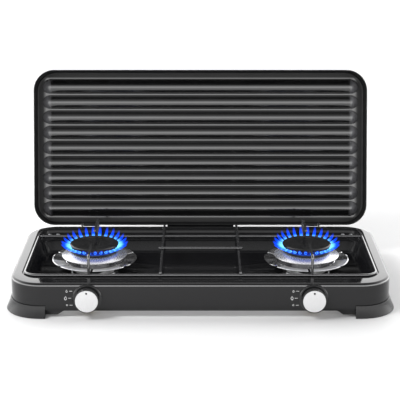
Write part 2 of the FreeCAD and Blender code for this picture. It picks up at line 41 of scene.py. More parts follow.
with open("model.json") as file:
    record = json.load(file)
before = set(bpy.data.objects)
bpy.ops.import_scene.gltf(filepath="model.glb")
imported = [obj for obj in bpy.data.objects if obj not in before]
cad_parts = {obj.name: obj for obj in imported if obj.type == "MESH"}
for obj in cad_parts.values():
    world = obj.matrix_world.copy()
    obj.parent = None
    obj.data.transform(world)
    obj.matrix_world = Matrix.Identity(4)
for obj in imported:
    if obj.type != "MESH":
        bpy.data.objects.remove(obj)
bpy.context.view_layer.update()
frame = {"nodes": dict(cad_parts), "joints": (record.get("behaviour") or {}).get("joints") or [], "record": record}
MM = 0.001


def box_mm(node):
    """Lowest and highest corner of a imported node, in millimetres."""
    return [np.array(corner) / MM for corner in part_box(node)]


SHELL_LO, SHELL_HI = box_mm("body_shell")
MIDDLE_Y = (SHELL_LO[1] + SHELL_HI[1]) / 2      # pieces are drawn about the body's middle
HALF_W = (SHELL_HI[0] - SHELL_LO[0]) / 2
HALF_D = (SHELL_HI[1] - SHELL_LO[1]) / 2
DECK_Z = SHELL_HI[2]
CAP_LO, CAP_HI = box_mm("burner_cap_right")
BURNER_X = (CAP_LO[0] + CAP_HI[0]) / 2
FACE_LO, FACE_HI = box_mm("knob_face_right")
KNOB_Z = (FACE_LO[2] + FACE_HI[2]) / 2
KNOB_LO, KNOB_HI = box_mm("knob_right")
KNOB_R = (KNOB_HI[2] - KNOB_LO[2]) / 2
HINGE = next(j for j in frame["joints"] if j["name"] == "lid_hinge")
HINGE_AT = np.array(HINGE["pos_m"]) / MM - [0, MIDDLE_Y, 0]
LID_OPEN = math.radians(HINGE["range_deg"][1])
SIDES = (("left", -1.0), ("right", 1.0))


# ---- settings
def length(name, default, description):
    return FloatProperty(name=name, description=description, default=default, unit="LENGTH")


class StoveSizes(bpy.types.PropertyGroup):
    corner_radius: length("Body corner radius", 0.040, "Plan radius of the body's corners")
    edge_radius: length("Deck edge radius", 0.004, "Rounding where the walls meet the deck")
    sheet: length("Sheet thickness", 0.0008, "Thickness of the pressed sheet")
    wire: length("Grate wire radius", 0.00175, "Radius of the grate's round wire")
    band_pitch: length("Band pitch", 0.02175, "Distance between neighbouring bands of the lid")
    band_rise: length("Band rise", 0.005, "How far each band of the lid stands in")
    flame_count: IntProperty(
        name="Flames", description="Flames round each burner, one for each port", default=28)
    flame_length: length("Flame length", 0.017, "Length of one flame")


class StoveColours(bpy.types.PropertyGroup):
    enamel: FloatVectorProperty(
        name="Enamel", description="Body, tray, caps and wires", subtype="COLOR", size=3,
        default=(0.006, 0.006, 0.0065))
    lid: FloatVectorProperty(
        name="Lid enamel", description="Both sides of the lid", subtype="COLOR", size=3,
        default=(0.004, 0.004, 0.0042))
    plastic: FloatVectorProperty(
        name="Foot plastic", description="The four corner feet", subtype="COLOR", size=3,
        default=(0.008, 0.008, 0.0085))
    silver: FloatVectorProperty(
        name="Knob face", description="Discs on the knobs", subtype="COLOR", size=3,
        default=(0.60, 0.60, 0.605))
    flame: FloatVectorProperty(
        name="Flame", description="Outer blue of the gas flames", subtype="COLOR", size=3,
        default=(0.0, 0.05, 0.9))


def sizes():
    return bpy.context.scene.stove_sizes


def colours():
    return bpy.context.scene.stove_colours


# ---- shaders
def operator_pair(operation):
    """A Sock's operator and its reflected form, each of which adds one Math node."""
    def forward(self, other):
        return self.math(operation, self, other)

    def reflected(self, other):
        return self.math(operation, other, self)

    return forward, reflected


class Sock:
    """One output socket; arithmetic on it adds Math nodes."""

    __add__, __radd__ = operator_pair("ADD")
    __sub__, __rsub__ = operator_pair("SUBTRACT")
    __mul__, __rmul__ = operator_pair("MULTIPLY")
    __truediv__, __rtruediv__ = operator_pair("DIVIDE")
    __pow__, __rpow__ = operator_pair("POWER")

    def __init__(self, graph, socket):
        self.graph = graph
        self.socket = socket

    def math(self, operation, *values):
        return self.graph.make("ShaderNodeMath", {"operation": operation}, dict(enumerate(values)))

    def absolute(self):
        return self.math("ABSOLUTE", self)


class Graph:
    """A node tree being built: make() adds any node, and the rest are short names for what it makes."""

    def __init__(self, tree):
        self.tree = tree

    def make(self, kind, settings=None, inputs=None, out=0):
        """Adds a node: its settings first, with "stops" for a ramp's (place, colour), then its sockets."""
        node = self.tree.nodes.new(kind)
        settings = dict(settings or {})
        stops = settings.pop("stops", None)
        for key, value in settings.items():
            setattr(node, key, value)
        if stops:
            ramp = node.color_ramp
            ramp.elements[0].position, ramp.elements[0].color = stops[0]
            ramp.elements[1].position, ramp.elements[1].color = stops[-1]
            for position, colour in stops[1:-1]:
                ramp.elements.new(position).color = colour
        for key, value in (inputs or {}).items():
            if isinstance(value, Sock):
                self.tree.links.new(value.socket, node.inputs[key])
            else:
                node.inputs[key].default_value = value
        return Sock(self, node.outputs[out]) if node.outputs else node

    def place(self):
        return self.make("ShaderNodeTexCoord", out="Object")

    def axis(self, name):
        """One coordinate of the point, in metres."""
        return self.make("ShaderNodeSeparateXYZ", {}, {0: self.place()}, out=name)

    def noise(self, scale, detail=2.0, stretch=(1.0, 1.0, 1.0)):
        """Soft cloud of that many lumps a metre, between 0 and 1."""
        at = self.make("ShaderNodeMapping", {}, {"Vector": self.place(), "Scale": stretch})
        return self.make("ShaderNodeTexNoise", {}, {"Vector": at, "Scale": scale, "Detail": detail})

    def smooth(self, value, low, high):
        return self.make("ShaderNodeMapRange", {"interpolation_type": "SMOOTHSTEP"},
                         {"Value": value, "From Min": low, "From Max": high})

    def level(self, value, stops):
        """Number read off straight lines between (value, number) stops, all up to 4."""
        grey = [(at, (number / 4, number / 4, number / 4, 1.0)) for at, number in stops]
        return self.make("ShaderNodeValToRGB", {"stops": grey}, {"Fac": value}) * 4.0

    def blend(self, factor, a, b):
        """Colour a where factor is 0, b where it is 1."""
        return self.make("ShaderNodeMix", {"data_type": "RGBA"}, {0: factor, 6: a, 7: b}, out=2)

    def mottle(self, cloud, low, high, a, b):
        """Colour a where the cloud is under low, b where it is over high."""
        return self.blend(self.smooth(cloud, low, high), a, b)

    def attribute(self, name):
        """Number stored on the mesh's points."""
        return self.make("ShaderNodeAttribute", {"attribute_name": name}, out="Fac")

    def bump(self, height, strength, distance):
        return self.make("ShaderNodeBump", {}, {"Height": height, "Strength": strength, "Distance": distance})


def rgba(colour, gain=1.0):
    return (colour[0] * gain, colour[1] * gain, colour[2] * gain, 1.0)


def steel(level):
    """Neutral metal colour with a trace of blue."""
    return (level, level, level + 0.01, 1.0)


def gloss_enamel(g):
    """Deep black vitreous enamel: slight waviness and faint dust-fine variation in gloss."""
    c = colours().enamel
    wave = g.noise(55.0, 1.0)
    fine = g.noise(900.0, 3.0)
    return {"Base Color": g.mottle(fine, 0.35, 0.75, rgba(c), rgba(c, 1.5)),
            "Roughness": 0.045 + wave * 0.03 + fine * 0.015,
            "Normal": g.bump(wave + fine * 0.02, 0.05, 0.0006)}


def shell_enamel(g):
    """Body enamel, with the thick glaze that gathers where the wall rolls over into the deck."""
    z = g.axis("Z") / MM
    rolled = g.smooth(z, DECK_Z - 3.9, DECK_Z - 3.4) * (1.0 - g.smooth(z, DECK_Z - 1.9, DECK_Z - 1.3))
    return {**gloss_enamel(g), "Coat Weight": rolled}


def lid_enamel(g):
    """Black paint on pressed sheet: polished where the bands are, duller on the plain border, and made light at
    the band ends as a painted highlight.
    """
    c = colours().lid
    cloud = g.noise(38.0)
    grain = g.noise(2600.0)
    banded = g.attribute("banded")
    paint = g.mottle(cloud, 0.3, 0.7, rgba(c), rgba(c, 1.25))
    # painted highlight: the paint is made thirty times lighter over the band ends
    return {"Base Color": g.blend(g.attribute("painted_end_highlight"), paint, rgba(c, 30.0)),
            "Roughness": 0.44 - banded * 0.26 + cloud * 0.05 + grain * 0.02,
            "Coat Weight": banded * 0.96 + cloud * 0.04,
            "Normal": g.bump(grain, 0.03, 0.00008)}


def cap_enamel(g):
    """Semi-matt black enamel with a fine speckle, as fired on burner caps."""
    c = colours().enamel
    grain = g.noise(2200.0, 4.0)
    return {"Base Color": g.mottle(g.noise(70.0), 0.35, 0.7, rgba(c, 0.9), rgba(c, 1.5)),
            "Roughness": 0.16 + grain * 0.10,
            "Normal": g.bump(grain, 0.10, 0.00012)}


def foot_plastic(g):
    """Moulded black plastic with a fine spark-eroded grain."""
    c = colours().plastic
    grain = g.noise(1500.0, 4.0)
    return {"Base Color": g.mottle(grain, 0.4, 0.7, rgba(c), rgba(c, 1.35)),
            "Roughness": 0.15 + grain * 0.08 + g.noise(45.0) * 0.05,
            "Normal": g.bump(grain, 0.18, 0.00015)}


def knob_plastic(g):
    """Polished black plastic with a trace of handling marks."""
    marks = g.noise(260.0, 3.0, (1.0, 1.0, 3.0))
    return {"Roughness": 0.10 + g.smooth(marks, 0.5, 0.8) * 0.12,
            "Normal": g.bump(marks, 0.02, 0.0001)}


def knob_silver(g):
    """Satin silver disc, lightly spun."""
    c = colours().silver
    spun = g.noise(1900.0, 3.0, (1.0, 0.02, 0.12))
    return {"Base Color": g.mottle(spun, 0.35, 0.7, rgba(c, 0.95), rgba(c)),
            "Roughness": 0.34 + spun * 0.10}


def mirror_chrome(g):
    """Bright chrome with faint wiping haze."""
    haze = g.noise(120.0, 3.0)
    fine = g.noise(1400.0, 3.0)
    return {"Base Color": g.mottle(haze, 0.4, 0.8, steel(0.86), steel(0.78)),
            "Roughness": 0.05 + g.smooth(haze, 0.45, 0.85) * 0.08 + fine * 0.02,
            "Normal": g.bump(haze, 0.03, 0.0003)}


def satin_dish(g):
    """Bright dish, rubbed to a satin on the petals nearest the stove's front outer corner."""
    grain = g.noise(1700.0, 3.0)
    wiped = g.noise(90.0)
    x = g.axis("X").absolute()
    y = g.axis("Y") - MIDDLE_Y * MM
    from_burner = ((x - BURNER_X * MM) ** 2.0 + y ** 2.0) ** 0.5
    on_petal = g.smooth(from_burner, 0.0375, 0.041)
    worn = on_petal * g.smooth(x, 0.101, 0.107) * (1.0 - g.smooth(y, -0.009, -0.004))
    return {"Base Color": g.mottle(wiped, 0.3, 0.7, steel(0.66), steel(0.78)),
            "Metallic": 1.0 - worn * 0.30,
            "Roughness": 0.06 + worn * 0.20 + grain * 0.06,
            "Normal": g.bump(wiped, 0.04, 0.0004)}


def burner_steel(g):
    """Port ring of heat-blackened steel."""
    streak = g.noise(1300.0, 3.0, (1.0, 1.0, 0.05))
    return {"Base Color": g.mottle(g.noise(60.0), 0.35, 0.7, steel(0.10), (0.05, 0.048, 0.055, 1)),
            "Roughness": 0.30 + streak * 0.16}


def turned_brass(g):
    """Machined brass with fine tool lines and slight tarnish."""
    lines = g.noise(2400.0, 2.0, (1.0, 0.05, 1.0))
    tarnish = g.noise(150.0, 3.0)
    return {"Base Color": g.mottle(tarnish, 0.4, 0.75, (0.76, 0.56, 0.24, 1), (0.50, 0.36, 0.17, 1)),
            "Roughness": 0.20 + lines * 0.14,
            "Normal": g.bump(lines, 0.08, 0.0001)}


def wire_enamel(g):
    """Gloss enamel on wire, a little uneven, and lighter than the body's enamel as a painted highlight."""
    c = colours().enamel
    drip = g.noise(180.0)
    # painted highlight: the body's enamel colour raised 2.2 to 3.4 times so the wires read lighter
    return {"Base Color": g.mottle(drip, 0.3, 0.7, rgba(c, 2.2), rgba(c, 3.4)),
            "Roughness": 0.07 + drip * 0.06,
            "Normal": g.bump(drip, 0.04, 0.0003)}


def floor_paper(g):
    """Matt pale paper."""
    return {"Base Color": g.blend(g.noise(40.0), (0.61, 0.61, 0.613, 1), (0.62, 0.62, 0.623, 1))}


def mottled(noise, low, high, a, b, rough, spread, relief=None):
    """Finish with one noise, which blends colour a into b, adds to the roughness and may raise the surface."""
    def build(g):
        cloud = g.noise(*noise)
        varying = {"Base Color": g.mottle(cloud, low, high, a, b), "Roughness": rough + cloud * spread}
        if relief:
            varying["Normal"] = g.bump(cloud, *relief)
        return varying

    return build


BRUSHED = mottled((1500.0, 3.0, (0.4, 0.4, 1.6)), 0.3, 0.7, steel(0.64), steel(0.74), 0.20, 0.14)
SAND_CAST = mottled((700.0, 5.0), 0.3, 0.7, steel(0.44), steel(0.60), 0.42, 0.2, (0.35, 0.0003))
ZINC_PLATE = mottled((240.0, 3.0), 0.35, 0.7, (0.60, 0.60, 0.62, 1), (0.46, 0.47, 0.49, 1), 0.26, 0.16)
SCREEN_INK = mottled((3000.0,), 0.3, 0.6, (0.34, 0.34, 0.34, 1), (0.46, 0.46, 0.46, 1), 0.45, 0.1)

FINISHES = {
    "enamel": (gloss_enamel, {"IOR": 1.42}),
    "shell_enamel": (shell_enamel, {"IOR": 1.42, "Coat IOR": 2.0, "Coat Roughness": 0.08}),
    "tray_enamel": (gloss_enamel, {"IOR": 1.35}),
    "lid_enamel": (lid_enamel, {"IOR": 1.36, "Coat IOR": 1.72, "Coat Roughness": 0.07}),
    "cap_enamel": (cap_enamel, {"IOR": 1.5}),
    "foot_plastic": (foot_plastic, {"IOR": 1.38}),
    "knob_black": (knob_plastic, {"IOR": 1.5, "Base Color": (0.01, 0.01, 0.0105, 1)}),
    "knob_silver": (knob_silver, {"Metallic": 0.35}),
    "bright": (mirror_chrome, {"Metallic": 1.0}),
    "dish": (satin_dish, {}),
    "skirt": (BRUSHED, {"Metallic": 0.82}),
    "burner_steel": (burner_steel, {"Metallic": 1.0}),
    "cast_alu": (SAND_CAST, {"Metallic": 0.9}),
    "brass": (turned_brass, {"Metallic": 1.0}),
    "zinc": (ZINC_PLATE, {"Metallic": 1.0}),
    "wire_enamel": (wire_enamel, {"IOR": 2.2}),
    "print": (SCREEN_INK, {}),
    "floor_paper": (floor_paper, {"Roughness": 0.55, "Specular IOR Level": 0.3}),
}


def finish(name):
    """Material with a Principled shader: constants on their own sockets, links for what varies."""
    full_name = "finish_" + name
    if full_name in bpy.data.materials:
        return bpy.data.materials[full_name]
    build, constants = FINISHES[name]
    material = bpy.data.materials.new(full_name)
    material.use_nodes = True
    shader = material.node_tree.nodes["Principled BSDF"]
    for key, value in constants.items():
        shader.inputs[key].default_value = value
    for key, value in build(Graph(material.node_tree)).items():
        material.node_tree.links.new(value.socket, shader.inputs[key])
    return material


# ---- surfaces
def loop(hx, y0, y1, r, z, nx=120, ny=60, nc=14):
    """Rounded rectangle as (n, 3) points, anticlockwise from the middle of the front side.

    Each corner is a quarter circle about its own centre, and each side a straight run between two of them,
    so that loops with equal nx, ny and nc pair up point by point.
    """
    r_front, r_back = (r, r) if np.isscalar(r) else r
    a = np.linspace(0.0, np.pi / 2, nc + 1)
    quarters = []
    front, back = (y0 + r_front, r_front), (y1 - r_back, r_back)
    for k, (sx, (yc, rr)) in enumerate(((1, front), (1, back), (-1, back), (-1, front))):
        angle = a + (k - 1) * np.pi / 2
        centre = np.array([sx * (hx - rr), yc])
        quarters.append(centre + rr * np.stack([np.cos(angle), np.sin(angle)], 1))
    runs = []
    for k, n in enumerate((ny, nx, ny, nx)):
        start, end = quarters[k][-1], quarters[(k + 1) % 4][0]
        t = np.linspace(0, 1, n + 1)[1:-1, None]
        runs += [quarters[k], start + (end - start) * t]
    flat = np.roll(np.concatenate(runs), nx // 2, axis=0)
    return np.concatenate([flat, np.full((len(flat), 1), float(z))], 1)


def grid_faces(rows, cols, wrap_rows=False, wrap_cols=True):
    """Index quads of a rows by cols grid of points."""
    i = np.arange(rows if wrap_rows else rows - 1)[:, None]
    j = np.arange(cols if wrap_cols else cols - 1)[None, :]
    i2, j2 = (i + 1) % rows, (j + 1) % cols
    quads = np.stack([i * cols + j, i * cols + j2, i2 * cols + j2, i2 * cols + j], -1)
    return quads.reshape(-1, 4)


def fan_faces(ring, tip):
    """Triangles from a closed ring of point numbers to one tip."""
    return np.stack([ring, np.roll(ring, -1), np.full(len(ring), tip)], 1)


def signed_volume(points, faces):
    """Six times the volume inside: every face is a fan of triangles, and each adds a . (b x c)."""
    total = 0.0
    for group in faces:
        for k in range(1, group.shape[1] - 1):
            a, b, c = points[group[:, 0]], points[group[:, k]], points[group[:, k + 1]]
            total += np.einsum("ij,ij->i", a, np.cross(b, c)).sum()
    return total


def mesh_of(name, points, faces):
    """Smooth mesh from points in millimetres about the body's middle and groups of equal-sided faces."""
    mesh = bpy.data.meshes.new(name)
    rows = [row for group in faces for row in group.tolist()]
    mesh.from_pydata(((points + [0, MIDDLE_Y, 0]) * MM).tolist(), [], rows)
    mesh.validate()
    mesh.polygons.foreach_set("use_smooth", np.ones(len(mesh.polygons), bool))
    return mesh


def placed(name, data):
    """New object in the scene, at the origin."""
    obj = bpy.data.objects.new(name, data)
    bpy.context.scene.collection.objects.link(obj)
    return obj


def piece(name, points, faces, body, finish_name, slot, replaces=(), outward=True, sharp=40.0):
    """Object on a body; outward says that the shape is closed and its faces are to be turned out."""
    if outward and signed_volume(points - points.mean(0), faces) < 0:
        faces = [f[:, ::-1] for f in faces]
    mesh = mesh_of(name, points, faces)
    mesh.set_sharp_from_angle(angle=math.radians(sharp))
    mesh.materials.append(finish(finish_name))
    obj = placed(name, mesh)
    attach(obj, body)
    if replaces:
        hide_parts(*replaces)
    return obj


def thicken(obj, thickness, offset=-1.0):
    """Gives a single surface its wall: behind its faces at offset -1, in front of them at 1."""
    wall = obj.modifiers.new("wall", "SOLIDIFY")
    wall.thickness = thickness
    wall.offset = offset
    wall.use_even_offset = True
    return obj


def rounded(points, radii, steps=6):
    """Polyline with each inner corner replaced by an arc: the circle of that radius touching both its runs."""
    p = [np.asarray(q, float) for q in points]
    out = [p[0][None]]
    for i in range(1, len(p) - 1):
        r = radii[i - 1] if isinstance(radii, (list, tuple)) else radii
        if r <= 0:
            out.append(p[i][None])
            continue
        a = (p[i - 1] - p[i]) / np.linalg.norm(p[i - 1] - p[i])
        b = (p[i + 1] - p[i]) / np.linalg.norm(p[i + 1] - p[i])
        half = math.acos(np.clip(a @ b, -1, 1)) / 2
        centre = p[i] + (a + b) / np.linalg.norm(a + b) * r / math.sin(half)
        u = p[i] + a * r / math.tan(half) - centre
        v = p[i] + b * r / math.tan(half) - centre
        sweep = math.pi - 2 * half
        t = np.linspace(0, 1, steps + 1)[:, None]
        arc = (np.sin((1 - t) * sweep) * u + np.sin(t * sweep) * v) / math.sin(sweep)
        out.append(centre + arc)
    out.append(p[-1][None])
    return np.concatenate(out)


def lathe(profile, x=0.0, y=0.0, axis="Z", at=0.0, n=128):
    """Surface of revolution: every profile point (radius, height) goes once round the axis.

    A profile that ends on the axis closes in a pole there; any other is a closed band.
    axis "Z" stands at (x, y); axis "Y" points back through (x, at).
    """
    profile = np.asarray(profile, float)
    poles = [k for k in (0, len(profile) - 1) if abs(profile[k, 0]) < 1e-9]
    body = np.array([p for k, p in enumerate(profile) if k not in poles])
    a = np.linspace(0, 2 * np.pi, n, endpoint=False)
    r, h = body[:, :1], np.repeat(body[:, 1:2], n, 1)
    ring = np.stack([r * np.cos(a), r * np.sin(a), h], -1).reshape(-1, 3)
    tips = np.array([[0, 0, profile[k, 1]] for k in poles]).reshape(-1, 3)
    points = np.concatenate([ring, tips])
    faces = [grid_faces(len(body), n, wrap_rows=not poles)]
    for i, k in enumerate(poles):
        start = 0 if k == 0 else (len(body) - 1) * n
        tri = fan_faces(np.arange(start, start + n), len(ring) + i)
        faces.append(tri[:, ::-1] if k == 0 else tri)
    if axis == "Y":
        points = np.stack([points[:, 0], points[:, 2], points[:, 1]], 1) + [x, 0, at]
        faces = [f[:, ::-1] for f in faces]
    else:
        points = points + [x, y, 0]
    return points, faces


def tube(path, r, side, n=14, closed=False):
    """Round bar: a circle of n points carried along a flat path, whose plane is square to side.

    An open bar ends in half spheres: rings of radius r cos(t) moved on by r sin(t), closed by a pole.
    """
    path = np.asarray(path, float)
    if closed:
        along = np.roll(path, -1, 0) - np.roll(path, 1, 0)
    else:
        along = np.gradient(path, axis=0)
    along /= np.linalg.norm(along, axis=1, keepdims=True)
    radii = np.full(len(path), float(r))
    if not closed:
        t = np.linspace(0.3, 1.35, 4)
        head = path[0] - along[0] * r * np.sin(t[::-1])[:, None]
        tail = path[-1] + along[-1] * r * np.sin(t)[:, None]
        radii = np.concatenate([r * np.cos(t[::-1]), radii, r * np.cos(t)])
        ends = [path[0] - along[0] * r, path[-1] + along[-1] * r]
        along = np.concatenate([np.repeat(along[:1], 4, 0), along, np.repeat(along[-1:], 4, 0)])
        path = np.concatenate([head, path, tail])
    side = np.asarray(side, float)
    up = np.cross(along, side)
    a = np.linspace(0, 2 * np.pi, n, endpoint=False)
    circle = np.cos(a)[None, :, None] * side + np.sin(a)[None, :, None] * up[:, None, :]
    points = (path[:, None] + radii[:, None, None] * circle).reshape(-1, 3)
    faces = [grid_faces(len(path), n, wrap_rows=closed)]
    if not closed:
        count = len(points)
        points = np.concatenate([points, ends])
        faces.append(fan_faces(np.arange(n), count)[:, ::-1])
        faces.append(fan_faces(np.arange(count - n, count), count + 1))
    return points, faces


def joined(parts):
    """Several (points, faces) sets as one."""
    points, faces, start = [], [], 0
    for p, fs in parts:
        points.append(p)
        faces += [f + start for f in fs]
        start += len(p)
    return np.concatenate(points), faces


class StovePiece:
    """Shared by the operators that build pieces."""
    bl_options = {"REGISTER"}

    def execute(self, context):
        self.build(context)
        return {"FINISHED"}


# ---- body
HEM_LOW, HEM_HIGH = 3.4, 8.4
HEM_SLOPE_X = (171.0, 178.4)            # where the hem comes down beside the feet, along the front and back
HEM_SLOPE_Y = (52.0, 59.4)              # and along the sides
OPEN_HX, OPEN_Y0, OPEN_Y1, OPEN_R = 226.6, -98.0, 113.5, 22.0
LEDGE_Z = 42.6                          # ledge inside the opening, which carries the tray
RIM_Z = LEDGE_Z + 0.8


def hem_height(points):
    """Lower edge of the skirt: low near the feet, with a straight slope up to the high part between them."""
    x, y = np.abs(points[:, 0]), np.abs(points[:, 1])
    front = np.interp(x, HEM_SLOPE_X, [HEM_HIGH, HEM_LOW])
    side = np.interp(y, HEM_SLOPE_Y, [HEM_HIGH, HEM_LOW])
    return np.where(y > HALF_D - 8, front, side)


class STOVE_OT_body(StovePiece, bpy.types.Operator):
    """Builds the pressed body shell with its rounded top edge, stepped opening and raised hem"""
    bl_idname = "stove.body"
    bl_label = "Body shell"

    LIP = 0.7                           # rounding of the deck where it turns down into the opening
    LEDGE_WIDTH = 6.2

    def build(self, context):
        """Loops, each an (inset, height): up the wall from the hem, round the edge as r(1 - cos a), r sin a,
        over the deck, and down the opening's step to its ledge."""
        edge = sizes().edge_radius / MM
        corner = sizes().corner_radius / MM
        a = np.linspace(0, np.pi / 2, 10)[1:]
        wall = [(0.0, HEM_LOW), (0.0, 12.0), (0.0, 26.0), (0.0, DECK_Z - edge)]
        wall += zip(edge * (1 - np.cos(a)), DECK_Z - edge + edge * np.sin(a))
        a = np.linspace(0, np.pi / 2, 5)
        step = [(-self.LIP - 0.8, DECK_Z)]
        step += zip(-self.LIP * (1 - np.sin(a)), DECK_Z - self.LIP * (1 - np.cos(a)))
        step += [(0.0, LEDGE_Z + 0.15), (0.15, LEDGE_Z), (self.LEDGE_WIDTH, LEDGE_Z)]
        loops = [loop(HALF_W - i, -HALF_D + i, HALF_D - i, corner - i, z, 240, 120) for i, z in wall]
        loops += [loop(OPEN_HX - i, OPEN_Y0 + i, OPEN_Y1 - i, OPEN_R - i, z, 240, 120) for i, z in step]
        loops[0][:, 2] = hem_height(loops[0])
        faces = [grid_faces(len(loops), len(loops[0]))]
        shell = piece("body_shell_skin", np.concatenate(loops), faces, "stove", "shell_enamel", "enamel",
                      ["body_shell"], outward=False)
        thicken(shell, sizes().sheet)


class STOVE_OT_tray(StovePiece, bpy.types.Operator):
    """Builds the drop-in drip tray with its rim, deep well, back shelf and pressed rib"""
    bl_idname = "stove.tray"
    bl_label = "Drip tray"

    FLOOR_Z, SHELF_Z = 22.0, 38.0
    # half width, front, back, corner radius, height, and the back's own height where it has one
    RIM = [(225.6, -97.0, 112.5, 21.0, RIM_Z - 0.5), (225.3, -96.7, 112.2, 20.7, RIM_Z),
           (220.8, -92.4, 107.6, 16.8, RIM_Z), (219.7, -91.3, 106.5, 15.7, RIM_Z - 0.35),
           (219.2, -90.8, 106.0, 15.2, RIM_Z - 1.1)]
    SHELF = [(218.6, -90.0, 105.4, 14.7, 40.2, 39.6), (218.4, -89.6, 104.9, 14.5, 38.9, 38.5),
             (218.2, -89.3, 104.1, 14.3, 38.2, 38.1), (218.0, -89.1, 103.0, 14.0, 37.9, SHELF_Z),
             (217.8, -88.9, 77.5, 14.0, 37.4, SHELF_Z), (217.6, -88.7, 76.2, 14.0, 36.9, 37.8),
             (217.3, -88.4, 75.3, 14.0, 36.0, 37.1), (217.0, -88.1, 74.7, 14.0, 35.2, 36.0)]
    WELL = [(213.7, -85.9, 70.0, 14.0, 25.4), (213.1, -85.2, 69.3, 13.6, 23.7),
            (212.0, -84.2, 68.2, 12.8, 22.5), (210.4, -82.6, 66.6, 11.6, FLOOR_Z)]
    RIB = [(49.6, -0.1, 14.1, 7.0, FLOOR_Z), (48.8, 0.7, 13.3, 6.2, 22.3),
           (48.0, 1.5, 12.5, 5.4, 23.1), (47.2, 2.3, 11.7, 4.6, 23.4)]

    def build(self, context):
        """Loops from the rim inwards; over the shelf the back of a loop stays high while the rest sinks."""
        loops = []
        for hx, y0, y1, r, *heights in self.RIM + self.SHELF + self.WELL + self.RIB:
            ring = loop(hx, y0, y1, r, 0.0)
            ring[:, 2] = np.where(ring[:, 1] > y1 - r - 0.01, heights[-1], heights[0])
            loops.append(ring)
        count = len(loops[0])
        last = count * (len(loops) - 1)
        faces = [grid_faces(len(loops), count), np.arange(last, last + count)[None]]
        tray = piece("drip_tray_pan", np.concatenate(loops), faces, "stove", "tray_enamel", "enamel",
                     ["drip_tray"], outward=False)
        thicken(tray, sizes().sheet)


class STOVE_OT_feet(StovePiece, bpy.types.Operator):
    """Builds the four flared corner feet"""
    bl_idname = "stove.feet"
    bl_label = "Corner feet"

    END_X, END_Y = 193.6, 74.0          # where a foot stops along the front and along the side
    # (offset from the body's wall, height): the sole and its edge, then the lip and the inside
    SOLE = [(-20.0, 0.0), (6.4, 0.0), (6.95, 0.25)]
    LIP = [(1.5, 14.85), (1.1, 15.0), (0.5, 15.0), (0.15, 14.7), (0.12, 3.2), (-20.0, 3.2)]

    def build(self, context):
        """A profile carried round each corner and capped at both ends; its outside flares as
        1.7 + 5.4 (1 - t)^1.25 while t goes up from sole to lip."""
        corner = sizes().corner_radius / MM
        a = np.linspace(-np.pi / 2, 0, 25)
        cx, cy = HALF_W - corner, -HALF_D + corner
        round_corner = np.stack([np.cos(a), np.sin(a)], 1)
        x_run = np.stack([np.linspace(self.END_X, cx, 5)[:-1], np.full(4, -HALF_D)], 1)
        y_run = np.stack([np.full(4, HALF_W), np.linspace(cy, -self.END_Y, 5)[1:]], 1)
        line = np.concatenate([x_run, [cx, cy] + corner * round_corner, y_run])
        normal = np.concatenate([np.tile([0.0, -1.0], (4, 1)), round_corner, np.tile([1.0, 0.0], (4, 1))])
        t = np.linspace(0, 1, 9)
        outer = np.stack([1.7 + 5.4 * (1 - t) ** 1.25, 0.7 + 13.6 * t], 1)
        profile = np.concatenate([self.SOLE, outer, self.LIP])
        plan = line[None] + profile[:, :1, None] * normal[None]
        rows, cols = plan.shape[:2]
        points = np.concatenate([plan, np.repeat(profile[:, 1:], cols, 1)[..., None]], -1).reshape(-1, 3)
        first_end = (np.arange(rows) * cols)[None]
        faces = [grid_faces(rows, cols, wrap_rows=True, wrap_cols=False),
                 first_end, first_end[:, ::-1] + cols - 1]
        for y_name, sy in (("front", 1.0), ("rear", -1.0)):
            for x_name, sx in (("right", 1.0), ("left", -1.0)):
                node = "foot_%s_%s" % (y_name, x_name)
                piece(node + "_shoe", points * [sx, sy, 1], faces, "stove", "foot_plastic", "foot_plastic",
                      [node])


# ---- grate
class STOVE_OT_grate(StovePiece, bpy.types.Operator):
    """Builds the wire pan grate: loop, long wires, cross wire and raised fingers"""
    bl_idname = "stove.grate"
    bl_label = "Pan grate"

    FRONT_Y, BACK_Y = -93.0, 70.0       # front and back run of the outer loop
    LONG_X = 50.6
    FINGER_Z = 70.0

    def build(self, context):
        """Round wire carried along each piece's path; the loop lies on the rim and the others on each other."""
        r = sizes().wire / MM
        z = RIM_Z + r
        across, upright = (1.0, 0.0, 0.0), (0.0, 0.0, 1.0)
        ring = loop(222.8, self.FRONT_Y, self.BACK_Y, (16.0, 6.0), z, 40, 20)
        parts = {"grate_outer_loop": tube(ring, r, upright, closed=True)}
        x = np.linspace(-54, 54, 20)
        parts["grate_cross_wire"] = tube(np.stack([x, 0 * x - 4.5, 0 * x + z + 4 * r], 1), r, upright)
        y = np.linspace(-95.5, 110, 30)
        for name, sx in SIDES:
            long_wire = np.stack([0 * y + sx * self.LONG_X, y, 0 * y + z + 2 * r], 1)
            parts["grate_long_wire_" + name] = tube(long_wire, r, across)
            for where, bar, tip in (("front", self.FRONT_Y, -46.0), ("rear", self.BACK_Y, 14.0)):
                corners = [(bar, z + r), (bar, self.FINGER_Z), (tip, self.FINGER_Z)]
                bend = rounded([(sx * BURNER_X, *corner) for corner in corners], 4.0, 8)
                parts["grate_%s_prong_%s" % (where, name)] = tube(bend, r, across)
        for node, (points, faces) in parts.items():
            piece(node + "_wire", points, faces, "stove", "wire_enamel", "wire_enamel", [node])


# ---- burners
SLOT_ANGLES = (22, 90, 158, 218, 270, 322)
SLOT_HALF = 1.6
DISH_Z, DISH_SLOPE = 34.8, 0.1294       # height of the flat middle, and rise of a petal per millimetre out
DISH_FLAT_R, DISH_SLOT_R, DISH_R = 35.9, 38.4, 56.0


